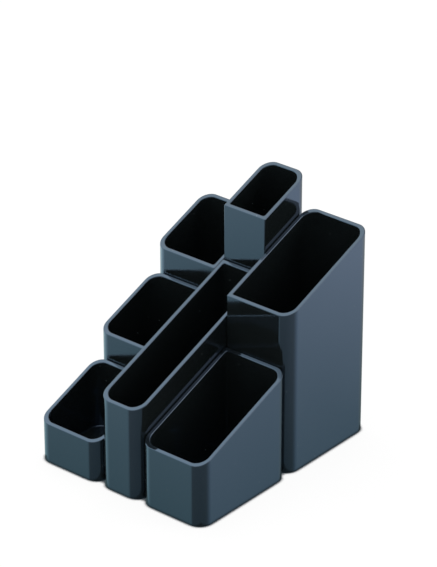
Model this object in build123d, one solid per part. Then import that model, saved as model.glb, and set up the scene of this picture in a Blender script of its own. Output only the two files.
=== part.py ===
from build123d import *

import math
import os
from dataclasses import dataclass

# Stepped desk organizer: seven separately moulded cups that stand side by side and slide
# together on upright dovetail rails. Millimetres. +X is right, +Y is to the back, +Z is up.
# The origin is at the middle of the footprint, on the surface that the organizer stands on.

# ---- Floor plan ----
left_width = 38.4  # the three cups on the left
centre_width = 25.5  # the slot and the tower behind it
right_width = 38.0  # the bin and the large cup behind it
total_depth = 124.0
low_tray_depth = 43.0
left_middle_depth = 42.0
centre_slot_depth = 91.5
front_bin_depth = 63.0

# ---- Rims: the height of each cup at its own front face ----
low_tray_height = 21.0
left_middle_height = 51.5
left_back_height = 81.0
centre_slot_height = 47.5
tower_height = 112.5
front_bin_height = 32.0
right_back_height = 84.0
rim_angle = 21.8  # every rim climbs to the back at this angle, in degrees

# ---- Moulding ----
wall = 2.0
floor = 2.0
seam = 0.3  # between the faces of neighbouring cups
outside_radius = 6.8  # upright corners on the outside of the group
outside_pocket_radius = 6.0  # the same corners, inside the cup
seam_radius = 0.5  # upright corners that stand between other cups
pocket_radius = 1.0  # the same corners, inside the cup
pocket_floor_radius = 0.8
rim_radius = 0.4
base_radius = 0.5
foot_width = 3.0  # ring under each cup that meets the table
foot_recess = 0.5

# ---- Dovetail rails ----
rail_width = 5.0  # at the face that it grows from
rail_flare = 30.0  # degrees that each flank leans outwards
rail_reach = 0.8  # how far the rail enters the next cup's wall
rail_clearance = 0.15
rail_foot = 1.0  # the rail starts this far above the table
rail_below_rim = 8.0  # and ends this far under the lower of the two rims
rail_root = 0.5  # how deep the rail is rooted in its own wall


@dataclass(frozen=True)
class Cup:
    """One moulded cup: its cell in the floor plan and the height of its rim in front."""

    name: str
    x0: float
    x1: float
    y0: float
    y1: float
    front_height: float

    def rim_height(self, y):
        """Height of the sloping rim plane at depth y."""
        return self.front_height + (y - self.y0) * math.tan(math.radians(rim_angle))


# ---- Lines of the floor plan ----
total_width = left_width + centre_width + right_width
left = -total_width / 2
left_seam = left + left_width
right_seam = left_seam + centre_width
right = right_seam + right_width
front = -total_depth / 2
back = front + total_depth
low_tray_back = front + low_tray_depth
left_middle_back = low_tray_back + left_middle_depth
centre_slot_back = front + centre_slot_depth
front_bin_back = front + front_bin_depth

low_tray = Cup("low_tray", left, left_seam, front, low_tray_back, low_tray_height)
left_middle_cup = Cup(
    "left_middle_cup", left, left_seam, low_tray_back, left_middle_back, left_middle_height
)
left_back_cup = Cup("left_back_cup", left, left_seam, left_middle_back, back, left_back_height)
centre_slot = Cup(
    "centre_slot", left_seam, right_seam, front, centre_slot_back, centre_slot_height
)
tower = Cup("tower", left_seam, right_seam, centre_slot_back, back, tower_height)
front_bin = Cup("front_bin", right_seam, right, front, front_bin_back, front_bin_height)
right_back_cup = Cup("right_back_cup", right_seam, right, front_bin_back, back, right_back_height)

cups = [
    low_tray,
    left_middle_cup,
    left_back_cup,
    centre_slot,
    tower,
    front_bin,
    right_back_cup,
]

# Each pair is the cup that carries the rail and the cup that drops over it from above.
rail_pairs = [
    (centre_slot, low_tray),
    (centre_slot, left_middle_cup),
    (centre_slot, tower),
    (centre_slot, front_bin),
    (centre_slot, right_back_cup),
    (tower, left_back_cup),
]


def outline(cup, inset, outside, inside):
    """Plan of a cup, drawn in from its faces by inset.

    Corners on the outside of the group get the radius outside, the others inside.
    """
    x_faces = {
        cup.x0: cup.x0 + inset + (0 if cup.x0 == left else seam / 2),
        cup.x1: cup.x1 - inset - (0 if cup.x1 == right else seam / 2),
    }
    y_faces = {
        cup.y0: cup.y0 + inset + (0 if cup.y0 == front else seam / 2),
        cup.y1: cup.y1 - inset - (0 if cup.y1 == back else seam / 2),
    }
    corners = [(cup.x0, cup.y0), (cup.x1, cup.y0), (cup.x1, cup.y1), (cup.x0, cup.y1)]
    points = [(x_faces[x], y_faces[y]) for x, y in corners]
    plan = make_face(Polyline(*points, close=True))
    for (x, y), point in zip(corners, points):
        is_outside = x in (left, right) or y in (front, back)
        radius = outside if is_outside else inside
        if radius > 0:
            vertex = plan.vertices().sort_by_distance((point[0], point[1], 0))[0]
            plan = fillet(vertex, radius)
    return plan


def under_rim(cup):
    """Everything that lies under the sloping rim plane of a cup."""
    side = Polyline(
        (0, cup.y0, 0),
        (0, cup.y1, 0),
        (0, cup.y1, cup.rim_height(cup.y1)),
        (0, cup.y0, cup.rim_height(cup.y0)),
        close=True,
    )
    return extrude(make_face(side), amount=total_width, dir=(1, 0, 0), both=True)


def shell(cup):
    """A cup with its pocket, rounded rim, rounded base edge and foot ring, without rails."""
    top = cup.rim_height(cup.y1)
    body = extrude(outline(cup, 0, outside_radius, seam_radius), amount=top) & under_rim(cup)
    base_edges = body.faces().sort_by(Axis.Z)[0].edges()
    body = fillet(base_edges, min(base_radius, seam_radius))

    wide_pocket_radius = max(outside_pocket_radius, outside_radius - wall)
    pocket_plan = outline(cup, wall, wide_pocket_radius, pocket_radius)
    pocket = extrude(Pos(0, 0, floor) * pocket_plan, amount=top)
    pocket_edges = pocket.faces().sort_by(Axis.Z)[0].edges()
    pocket = fillet(pocket_edges, min(pocket_floor_radius, 0.8 * pocket_radius))
    body -= pocket

    recess_radius = max(outside_radius - foot_width, pocket_radius)
    recess_plan = outline(cup, foot_width, recess_radius, pocket_radius)
    body -= extrude(recess_plan, amount=foot_recess)

    rim_tilt = math.cos(math.radians(rim_angle))
    rim_face = body.faces().filter_by(lambda face: abs(face.normal_at().Z - rim_tilt) < 1e-4)[0]
    return fillet(rim_face.edges(), min(rim_radius, 0.2 * wall))


def shared_face(carrier, lifted):
    """Plane at the middle of the wall that two cups share.

    Its origin is on the seam, its X axis runs along the seam and its Y axis points from the
    carrier into the lifted cup.
    """
    if carrier.y1 == lifted.y0:
        middle = (max(carrier.x0, lifted.x0) + min(carrier.x1, lifted.x1)) / 2
        return Plane(origin=(middle, carrier.y1, 0), x_dir=(1, 0, 0), z_dir=(0, 0, 1))
    middle = (max(carrier.y0, lifted.y0) + min(carrier.y1, lifted.y1)) / 2
    if carrier.x1 == lifted.x0:
        return Plane(origin=(carrier.x1, middle, 0), x_dir=(0, -1, 0), z_dir=(0, 0, 1))
    return Plane(origin=(carrier.x0, middle, 0), x_dir=(0, 1, 0), z_dir=(0, 0, 1))


def rail_top(carrier, lifted):
    """Height at which the rail between two cups ends."""
    y = shared_face(carrier, lifted).origin.Y
    return min(carrier.rim_height(y), lifted.rim_height(y)) - rail_below_rim


def dovetail(carrier, lifted, start, tip, grow, bottom, top):
    """Upright dovetail bar on the seam between two cups.

    The section runs from start to tip across the seam, and its flanks stand off the rail's
    own flanks by grow.
    """
    slope = math.tan(math.radians(rail_flare))
    stand_off = rail_width / 2 + grow / math.cos(math.radians(rail_flare))
    half = {n: stand_off + max(n + seam / 2, 0) * slope for n in (start, -seam / 2, tip)}
    across = [start, tip] if start >= -seam / 2 else [start, -seam / 2, tip]
    section = [(half[n], n) for n in across] + [(-half[n], n) for n in reversed(across)]
    plane = shared_face(carrier, lifted).offset(bottom)
    return extrude(plane * make_face(Polyline(*section, close=True)), amount=top - bottom)


def rail(carrier, lifted):
    """Dovetail rail that grows from the carrier."""
    start = -seam / 2 - min(rail_root, wall / 2)
    tip = seam / 2 + rail_reach
    return dovetail(carrier, lifted, start, tip, 0, rail_foot, rail_top(carrier, lifted))


def groove(carrier, lifted):
    """Groove in the lifted cup, open at its base and stopped above the rail."""
    tip = seam / 2 + rail_reach + rail_clearance
    top = rail_top(carrier, lifted) + rail_clearance
    return dovetail(carrier, lifted, -seam / 2, tip, rail_clearance, -rail_foot, top)


def moulding(cup):
    """A finished cup with the rails that it carries and the groove that it drops over."""
    body = shell(cup)
    for carrier, lifted in rail_pairs:
        if carrier is cup:
            body += rail(carrier, lifted)
        if lifted is cup:
            body -= groove(carrier, lifted)
    return body


os.makedirs("parts", exist_ok=True)
for cup in cups:
    solid = moulding(cup)
    solid.label = cup.name
    export_step(solid, f"parts/{cup.name}.step")

for carrier, lifted in rail_pairs:
    print(f"{lifted.name} leaves its rail on {carrier.name} after {rail_top(carrier, lifted):.1f} mm")
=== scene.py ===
import logging
import math
from dataclasses import dataclass
from enum import Enum

import bmesh
import bpy
from mathutils import Matrix, Vector


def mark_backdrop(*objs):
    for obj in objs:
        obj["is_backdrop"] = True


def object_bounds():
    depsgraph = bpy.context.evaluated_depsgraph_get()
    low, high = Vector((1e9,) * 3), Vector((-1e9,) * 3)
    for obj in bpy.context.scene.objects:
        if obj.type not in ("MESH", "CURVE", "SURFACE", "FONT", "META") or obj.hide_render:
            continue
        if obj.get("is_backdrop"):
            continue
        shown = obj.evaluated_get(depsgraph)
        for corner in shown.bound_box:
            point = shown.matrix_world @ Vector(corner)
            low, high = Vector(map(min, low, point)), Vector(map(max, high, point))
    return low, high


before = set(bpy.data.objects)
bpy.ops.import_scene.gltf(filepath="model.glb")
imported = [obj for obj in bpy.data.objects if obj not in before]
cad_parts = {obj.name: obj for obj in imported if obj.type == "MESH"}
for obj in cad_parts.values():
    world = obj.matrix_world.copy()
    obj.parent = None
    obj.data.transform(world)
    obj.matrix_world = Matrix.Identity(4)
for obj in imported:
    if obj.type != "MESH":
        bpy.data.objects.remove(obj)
cad_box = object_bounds()

LOG = logging.getLogger("desk_organizer")
MM = 0.001

Colour = tuple[float, float, float]
Triple = tuple[float, float, float]
Value = float | Triple | bpy.types.NodeSocket

WHITE: Colour = (1.0, 1.0, 1.0)


class Blend(Enum):
    """How a mask or a colour fades from one end of its range to the other."""

    STRAIGHT = "LINEAR"
    SOFT = "SMOOTHSTEP"


class NodeSheet:
    """Adds and joins the nodes of one material or world."""

    def __init__(self, tree: bpy.types.NodeTree) -> None:
        """Start from an empty tree.

        Args:
            tree: the node tree of a material or of the world.
        """
        self.tree = tree
        self.tree.nodes.clear()

    def add(
        self,
        kind: str,
        inputs: dict[str | int, Value] | None = None,
        settings: dict[str, object] | None = None,
    ) -> bpy.types.Node:
        """Add one node.

        Args:
            kind: the node's type, without its ShaderNode prefix.
            inputs: values or output sockets, by input name or number.
            settings: the node's own options, by name.

        Returns:
            The new node.
        """
        node = self.tree.nodes.new("ShaderNode" + kind)
        for name, value in (settings or {}).items():
            setattr(node, name, value)
        for name, value in (inputs or {}).items():
            self.feed(node, name, value)
        return node

    def feed(self, node: bpy.types.Node, name: str | int, value: Value) -> None:
        """Give a node's input a value, or join it to an output.

        Args:
            node: the node that takes it.
            name: the input's name or number.
            value: a number, a colour, a vector or an output socket.
        """
        socket = node.inputs[name]
        if isinstance(value, bpy.types.NodeSocket):
            self.tree.links.new(value, socket)
        elif socket.type == "RGBA" and len(value) == 3:
            socket.default_value = (*value, 1.0)
        else:
            socket.default_value = value

    def number(self, operation: str, *values: Value) -> bpy.types.NodeSocket:
        """Work out a number.

        Args:
            operation: the Math node's operation.
            values: one to three numbers or outputs.

        Returns:
            The result's output.
        """
        node = self.add("Math", dict(enumerate(values)), {"operation": operation})
        return node.outputs[0]

    def vector(
        self, operation: str, *values: Value, result: str = "Vector"
    ) -> bpy.types.NodeSocket:
        """Work out a vector, or a number from vectors.

        Args:
            operation: the Vector Math node's operation.
            values: vectors or outputs.
            result: the output to use, Vector or Value.

        Returns:
            The result's output.
        """
        node = self.add("VectorMath", dict(enumerate(values)), {"operation": operation})
        return node.outputs[result]

    def ramp(
        self, value: Value, low: float, high: float, blend: Blend = Blend.SOFT
    ) -> bpy.types.NodeSocket:
        """Mask that is 0 at one value and 1 at another.

        Args:
            value: the output that is measured.
            low: where the mask is 0.
            high: where the mask is 1, above or below low.
            blend: how it fades between the two.

        Returns:
            The mask's output.
        """
        inputs = {"Value": value, "From Min": low, "From Max": high}
        settings = {"interpolation_type": blend.value, "clamp": True}
        return self.add("MapRange", inputs, settings).outputs["Result"]

    def mix_colour(self, share: Value, first: Value, second: Value) -> bpy.types.NodeSocket:
        """Blend two colours.

        Args:
            share: how much of the second colour shows, from 0 to 1.
            first: colour or output.
            second: colour or output.

        Returns:
            The blended colour's output.
        """
        node = self.add("Mix", settings={"data_type": "RGBA"})
        self.feed(node, 0, share)
        self.feed(node, 6, first)
        self.feed(node, 7, second)
        return node.outputs[2]

    def mix_shader(self, share: Value, first: Value, second: Value) -> bpy.types.NodeSocket:
        """Blend two shaders.

        Args:
            share: how much of the second shader shows, from 0 to 1.
            first: a shader's output.
            second: a shader's output.

        Returns:
            The blended shader's output.
        """
        return self.add("MixShader", {0: share, 1: first, 2: second}).outputs[0]


@dataclass(frozen=True)
class GlossPlastic:
    """Polished, very dark slate plastic, as it leaves a polished mould.

    The walls bend a mirror image a little, as moulded walls do. They are duller in patches
    where they are handled, and carry hairline marks and a few specks of dust.
    """

    body: Colour = (0.0080, 0.0108, 0.0113)
    body_handled: Colour = (0.0093, 0.0125, 0.0131)
    gloss_tint: Colour = (0.50, 0.70, 1.00)
    gloss_level: float = 1.0
    roughness: float = 0.055
    roughness_handled: float = 0.11
    handled_size: float = 35 * MM
    handled_edges: tuple[float, float] = (0.42, 0.68)
    wave_size: float = 55 * MM
    wave_depth: float = 0.03 * MM
    mark_length: float = 12 * MM
    mark_width: float = 0.2 * MM
    mark_depth: float = 0.0006 * MM
    mark_lean: tuple[float, float] = (8.0, 5.0)
    mark_edges: tuple[float, float] = (0.66, 0.78)
    mark_roughness: float = 0.05
    dust: Colour = (0.22, 0.23, 0.24)
    speck_spacing: float = 6 * MM
    speck_radius: float = 0.22 * MM
    speck_core: float = 0.4
    speck_roughness: float = 0.5

    def material(self, name: str, shift: Triple) -> bpy.types.Material:
        """Make the finish of one moulding.

        Args:
            name: the material's name.
            shift: where the patterns of this moulding start, so that no two are alike.

        Returns:
            The material.
        """
        made = bpy.data.materials.new(name)
        made.use_nodes = True
        sheet = NodeSheet(made.node_tree)
        place = sheet.add("TexCoord").outputs["Object"]
        place = sheet.add("Mapping", {"Vector": place, "Location": shift}).outputs[0]

        patches = self.noise(sheet, place, self.handled_size, 3.0)
        handled = sheet.ramp(patches, *self.handled_edges)
        specks = self.specks(sheet, place)
        colour = sheet.mix_colour(handled, self.body, self.body_handled)
        colour = sheet.mix_colour(specks, colour, self.dust)

        marks = self.hairlines(sheet, place)
        spread = self.roughness_handled - self.roughness
        rough = sheet.number("MULTIPLY_ADD", handled, spread, self.roughness)
        rough = sheet.number("MULTIPLY_ADD", marks, self.mark_roughness, rough)
        rough = sheet.number("MULTIPLY_ADD", specks, self.speck_roughness, rough)

        shader = sheet.add(
            "BsdfPrincipled",
            {
                "Base Color": colour,
                "Roughness": rough,
                "Specular IOR Level": self.gloss_level,
                "Specular Tint": self.gloss_tint,
                "Normal": self.relief(sheet, place, marks),
            },
        )
        sheet.add("OutputMaterial", {"Surface": shader.outputs[0]})
        return made

    def noise(
        self, sheet: NodeSheet, place: bpy.types.NodeSocket, size: float, detail: float
    ) -> bpy.types.NodeSocket:
        """Soft noise.

        Args:
            sheet: the material's nodes.
            place: the coordinates.
            size: how far apart its light patches lie, in the coordinates' unit.
            detail: how many finer layers it has.

        Returns:
            The noise, from 0 to 1.
        """
        node = sheet.add("TexNoise", {"Vector": place, "Scale": 1 / size, "Detail": detail})
        return node.outputs["Fac"]

    def hairlines(self, sheet: NodeSheet, place: bpy.types.NodeSocket) -> bpy.types.NodeSocket:
        """Fine, nearly upright marks, from sliding things in and out.

        Args:
            sheet: the material's nodes.
            place: the coordinates.

        Returns:
            Their mask, from 0 to 1.
        """
        size = (self.mark_width, self.mark_width, self.mark_length)
        turn = (*map(math.radians, self.mark_lean), 0)
        lined = {"Vector": place, "Rotation": turn, "Scale": size}
        stretched = sheet.add("Mapping", lined, {"vector_type": "TEXTURE"}).outputs[0]
        lines = self.noise(sheet, stretched, 1.0, 2.0)
        return sheet.ramp(lines, *self.mark_edges)

    def specks(self, sheet: NodeSheet, place: bpy.types.NodeSocket) -> bpy.types.NodeSocket:
        """Sparse specks of dust.

        Args:
            sheet: the material's nodes.
            place: the coordinates.

        Returns:
            Their mask, from 0 to 1.
        """
        grid = 1 / self.speck_spacing
        cells = sheet.add("TexVoronoi", {"Vector": place, "Scale": grid})
        edge = self.speck_radius * grid
        return sheet.ramp(cells.outputs["Distance"], edge, edge * self.speck_core)

    def relief(
        self, sheet: NodeSheet, place: bpy.types.NodeSocket, marks: bpy.types.NodeSocket
    ) -> bpy.types.NodeSocket:
        """Slow bend of the walls, with the hairlines on it.

        Args:
            sheet: the material's nodes.
            place: the coordinates.
            marks: the hairlines' mask.

        Returns:
            The surface's normal.
        """
        waves = self.noise(sheet, place, self.wave_size, 1.0)
        bent = sheet.add("Bump", {"Height": waves, "Distance": self.wave_depth})
        lined = {"Height": marks, "Distance": self.mark_depth, "Normal": bent.outputs[0]}
        return sheet.add("Bump", lined, {"invert": True}).outputs[0]


@dataclass(frozen=True)
class Cup:
    """One moulded cup, whose shape is the frame's own solid."""

    name: str
    shift: Triple

    def dress(self, finish: GlossPlastic) -> bpy.types.Object:
        """Give the cup its finish.

        Args:
            finish: the plastic that it is moulded in.

        Returns:
            The cup's object.
        """
        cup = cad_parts[self.name]
        material = finish.material(f"{self.name}_plastic", self.shift)
        for slot in cup.material_slots:
            slot.material = material
        return cup


@dataclass(frozen=True)
class Organizer:
    """The seven cups of the stepped organizer."""

    finish: GlossPlastic = GlossPlastic()
    cups: tuple[Cup, ...] = (
        Cup("centre_slot", (0.0, 0.0, 0.0)),
        Cup("tower", (0.31, 0.12, 0.05)),
        Cup("front_bin", (0.07, 0.45, 0.21)),
        Cup("right_back_cup", (0.53, 0.26, 0.38)),
        Cup("low_tray", (0.64, 0.03, 0.17)),
        Cup("left_middle_cup", (0.19, 0.72, 0.44)),
        Cup("left_back_cup", (0.41, 0.58, 0.66)),
    )

    def build(self) -> list[bpy.types.Object]:
        """Dress every cup.

        Returns:
            The cups' objects.
        """
        return [cup.dress(self.finish) for cup in self.cups]


@dataclass(frozen=True)
class SoftLight:
    """A soft light as the gloss mirrors it, by how far from its middle one looks.

    Its middle lies at a bearing from +X towards +Y and at a height over the floor. It is full
    up to half its width, less the fade, and gone at half its width and the fade. All are in
    degrees.
    """

    bearing: float
    height: float
    half_width: float
    fade: float
    light: Colour

    def glow(self, sheet: NodeSheet, direction: bpy.types.NodeSocket) -> bpy.types.NodeSocket:
        """Light that comes from a direction.

        Args:
            sheet: the world's nodes.
            direction: the direction, of length one.

        Returns:
            The light's colour.
        """
        middle = self.middle()
        cosine = sheet.vector("DOT_PRODUCT", direction, middle, result="Value")
        away = sheet.number("ARCCOSINE", cosine)
        outer = math.radians(self.half_width + self.fade)
        inner = math.radians(self.half_width - self.fade)
        return sheet.vector("MULTIPLY", sheet.ramp(away, outer, inner), self.light)

    def middle(self) -> Triple:
        """Direction of the light's middle, of length one."""
        turn, rise = math.radians(self.bearing), math.radians(self.height)
        return math.cos(turn) * math.cos(rise), math.sin(turn) * math.cos(rise), math.sin(rise)


@dataclass(frozen=True)
class Surroundings:
    """White all round for the eye, a soft studio for the gloss, and a plain even light.

    The banks stand from floor to ceiling, so only the bearing of a direction counts for them.
    The walls mirror them, and the rims and their rounded edges mirror the boxes.
    """

    banks: tuple[SoftLight, ...] = (
        SoftLight(197.0, 0.0, 46.0, 9.0, (0.63, 0.88, 0.89)),
        SoftLight(190.0, 0.0, 25.0, 10.0, (0.33, 0.48, 0.58)),
        SoftLight(46.0, 0.0, 24.0, 26.0, (0.66, 0.80, 1.01)),
    )
    boxes: tuple[SoftLight, ...] = (
        SoftLight(164.1, 68.6, 38.0, 14.0, (0.95, 0.80, 0.71)),
        SoftLight(17.7, 46.1, 20.0, 8.0, (3.10, 2.60, 2.20)),
    )
    fill: Colour = (0.57, 0.60, 0.62)
    even_light: Colour = (0.60, 0.60, 0.60)

    def build(self) -> bpy.types.World:
        """Make the world.

        Returns:
            The world.
        """
        world = bpy.data.worlds.new("soft_studio")
        world.use_nodes = True
        world.cycles.sampling_method = "NONE"
        bpy.context.scene.world = world
        sheet = NodeSheet(world.node_tree)
        ray = sheet.add("LightPath").outputs
        studio = sheet.add("Background", {"Color": self.studio(sheet)})
        even = sheet.add("Background", {"Color": self.even_light})
        white = sheet.add("Background", {"Color": WHITE})
        seen = sheet.number("MAXIMUM", ray["Is Camera Ray"], ray["Is Transmission Ray"])
        lit = sheet.mix_shader(ray["Is Glossy Ray"], even.outputs[0], studio.outputs[0])
        shown = sheet.mix_shader(seen, lit, white.outputs[0])
        sheet.add("OutputWorld", {"Surface": shown})
        return world

    def studio(self, sheet: NodeSheet) -> bpy.types.NodeSocket:
        """Light that the gloss mirrors, by direction.

        Args:
            sheet: the world's nodes.

        Returns:
            The light's colour.
        """
        direction = sheet.add("TexCoord").outputs["Generated"]
        flat = sheet.vector("MULTIPLY", direction, (1, 1, 0))
        level = sheet.vector("NORMALIZE", flat)
        lights = [bank.glow(sheet, level) for bank in self.banks]
        lights += [box.glow(sheet, direction) for box in self.boxes]
        total = self.fill
        for light in lights:
            total = sheet.vector("ADD", total, light)
        return total


@dataclass(frozen=True)
class SoftLamp:
    """A square soft lamp that lights colours and casts the soft shadow on the floor."""

    name: str
    place: Triple
    width: float
    power: float
    aim: Triple = (0.0, 0.0, 50 * MM)

    def build(self) -> bpy.types.Object:
        """Hang the lamp, turned to the object.

        Returns:
            The lamp's object.
        """
        data = bpy.data.lights.new(self.name, "AREA")
        data.shape = "SQUARE"
        data.size = self.width
        data.energy = self.power
        lamp = bpy.data.objects.new(self.name, data)
        bpy.context.scene.collection.objects.link(lamp)
        lamp.location = self.place
        sight = Vector(self.aim) - lamp.location
        lamp.rotation_euler = sight.to_track_quat("-Z", "Y").to_euler()
        lamp.visible_glossy = False
        return lamp


@dataclass(frozen=True)
class Floor:
    """A plain white floor, with a faint shadow round the object: partly real, from the lamps,
    and partly a painted contact shadow at its foot.

    The mirrored values are for the floor as the gloss shows it, with painted shade near the
    object, the others for the eye.
    """

    half_width: float = 3.0
    paint: Colour = (0.8, 0.8, 0.8)
    shadow_share: float = 0.07
    # painted contact shadow on the white that the eye sees
    painted_contact_shade: Colour = (0.03, 0.04, 0.05)
    contact_reach: float = 3 * MM
    contact_edges: tuple[float, float] = (0.48, 0.80)
    contact_samples: int = 8
    # painted shade round the object, as the gloss shows the floor
    mirrored_painted_shade_near: Colour = (0.385, 0.49, 0.49)
    mirrored_reach: float = 205 * MM
    mirrored_painted_contact_shade: float = 0.3
    mirrored_painted_contact_reach: float = 2 * MM

    def build(self) -> bpy.types.Object:
        """Lay the floor.

        Returns:
            The floor's object.
        """
        mesh = bpy.data.meshes.new("floor")
        grid = bmesh.new()
        bmesh.ops.create_grid(grid, x_segments=1, y_segments=1, size=self.half_width)
        grid.to_mesh(mesh)
        grid.free()
        mesh.materials.append(self.material())
        floor = bpy.data.objects.new("floor", mesh)
        bpy.context.scene.collection.objects.link(floor)
        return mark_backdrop(floor)

    def material(self) -> bpy.types.Material:
        """Make the floor's paint.

        The eye sees white with a faint shadow, partly real and partly a painted contact shadow.
        In the gloss the floor shows the studio beyond it, with painted shade near the object,
        where the object would keep light away.

        Returns:
            The material.
        """
        made = bpy.data.materials.new("white_floor")
        made.use_nodes = True
        sheet = NodeSheet(made.node_tree)
        ray = sheet.add("LightPath").outputs
        paint = sheet.add("BsdfDiffuse", {"Color": self.paint}).outputs[0]
        # painted contact shadow: the eye's white glow darkens near the object's foot
        glow = sheet.add("Emission", {"Color": self.painted_contact_shadow(sheet)}).outputs[0]
        shadowed = sheet.add("BsdfDiffuse", {"Color": WHITE}).outputs[0]
        seen = sheet.mix_shader(self.shadow_share, glow, shadowed)
        # painted shade: the gloss sees the studio through the floor, dimmed near the object
        beyond = sheet.add("BsdfTransparent", {"Color": self.mirrored(sheet)}).outputs[0]
        lit = sheet.mix_shader(ray["Is Glossy Ray"], paint, beyond)
        sheet.add(
            "OutputMaterial", {"Surface": sheet.mix_shader(ray["Is Camera Ray"], lit, seen)}
        )
        return made

    def painted_contact_shadow(self, sheet: NodeSheet) -> bpy.types.NodeSocket:
        """White with a painted contact shadow, darker in the last few millimetres before the
        object.

        Args:
            sheet: the floor material's nodes.

        Returns:
            The white's output.
        """
        settings = {"samples": self.contact_samples, "only_local": False}
        # painted shadow: ambient occlusion sets the white's colour, no lamp casts it
        sky = sheet.add("AmbientOcclusion", {"Distance": self.contact_reach}, settings)
        clear = sheet.ramp(sky.outputs["AO"], *self.contact_edges)
        return sheet.mix_colour(clear, self.painted_contact_shade, WHITE)

    def mirrored(self, sheet: NodeSheet) -> bpy.types.NodeSocket:
        """How much of the studio's light the floor gives back, dimmed by painted shade near the
        object.

        Args:
            sheet: the floor material's nodes.

        Returns:
            The share's colour.
        """
        low, high = (Vector(corner) for corner in cad_box)
        middle, half = (low + high) / 2, (high - low) / 2
        place = sheet.add("TexCoord").outputs["Object"]
        offset = sheet.vector("SUBTRACT", place, (middle.x, middle.y, 0))
        beyond = sheet.vector("SUBTRACT", sheet.vector("ABSOLUTE", offset), (half.x, half.y, 0))
        beyond = sheet.vector("MAXIMUM", beyond, (0, 0, 0))
        away = sheet.vector("LENGTH", beyond, result="Value")
        # painted shade: dim near the object's footprint, full light on the open floor
        open_floor = sheet.ramp(away, 0.0, self.mirrored_reach, Blend.STRAIGHT)
        share = sheet.mix_colour(open_floor, self.mirrored_painted_shade_near, WHITE)
        # painted contact shade right at the object's foot
        clear = sheet.ramp(away, 0.0, self.mirrored_painted_contact_reach)
        dimmed = sheet.number(
            "MULTIPLY_ADD", clear, 1 - self.mirrored_painted_contact_shade, self.mirrored_painted_contact_shade
        )
        return sheet.vector("MULTIPLY", share, dimmed)


@dataclass(frozen=True)
class Studio:
    """World, lamps and floor."""

    surroundings: Surroundings = Surroundings()
    floor: Floor = Floor()
    lamps: tuple[SoftLamp, ...] = (
        SoftLamp("overhead_lamp", (-0.25, 0.15, 1.1), 0.9, 9.0),
        SoftLamp("side_lamp", (0.9, 0.7, 0.7), 0.6, 4.0),
    )

    def build(self) -> None:
        """Set up everything that lights or carries the object."""
        self.surroundings.build()
        self.floor.build()
        for lamp in self.lamps:
            lamp.build()


@dataclass(frozen=True)
class PhotoCamera:
    """The camera at the photograph's place, with the photograph's perspective."""

    position: Triple = (0.84843, -1.00185, 0.76533)
    azimuth: float = 39.956
    elevation: float = 27.345
    focal_px: float = 3143.7
    long_side_px: int = 567
    sensor_mm: float = 36.0
    nearest: float = 0.05
    farthest: float = 20.0

    def build(self) -> bpy.types.Object:
        """Place the camera and make it the scene's.

        Returns:
            The camera's object.
        """
        data = bpy.data.cameras.new("photo_camera")
        data.sensor_fit = "AUTO"
        data.sensor_width = self.sensor_mm
        data.lens = self.focal_px * self.sensor_mm / self.long_side_px
        data.clip_start = self.nearest
        data.clip_end = self.farthest
        camera = bpy.data.objects.new("photo_camera", data)
        bpy.context.scene.collection.objects.link(camera)
        turn = (
            Matrix.Rotation(math.radians(self.azimuth), 4, "Z")
            @ Matrix.Rotation(math.radians(90 - self.elevation), 4, "X")
        )
        camera.matrix_world = Matrix.Translation(self.position) @ turn
        bpy.context.scene.camera = camera
        return camera


def main() -> None:
    """Build the scene in order and report each piece."""
    logging.basicConfig(level=logging.INFO, format="%(name)s: %(message)s")
    bpy.context.scene.view_settings.view_transform = "Standard"
    PhotoCamera().build()
    LOG.info("camera placed")
    for piece in Organizer().build():
        LOG.info("dressed %s", piece.name)
    Studio().build()
    LOG.info("studio set up")


if __name__ == "__main__":
    main()
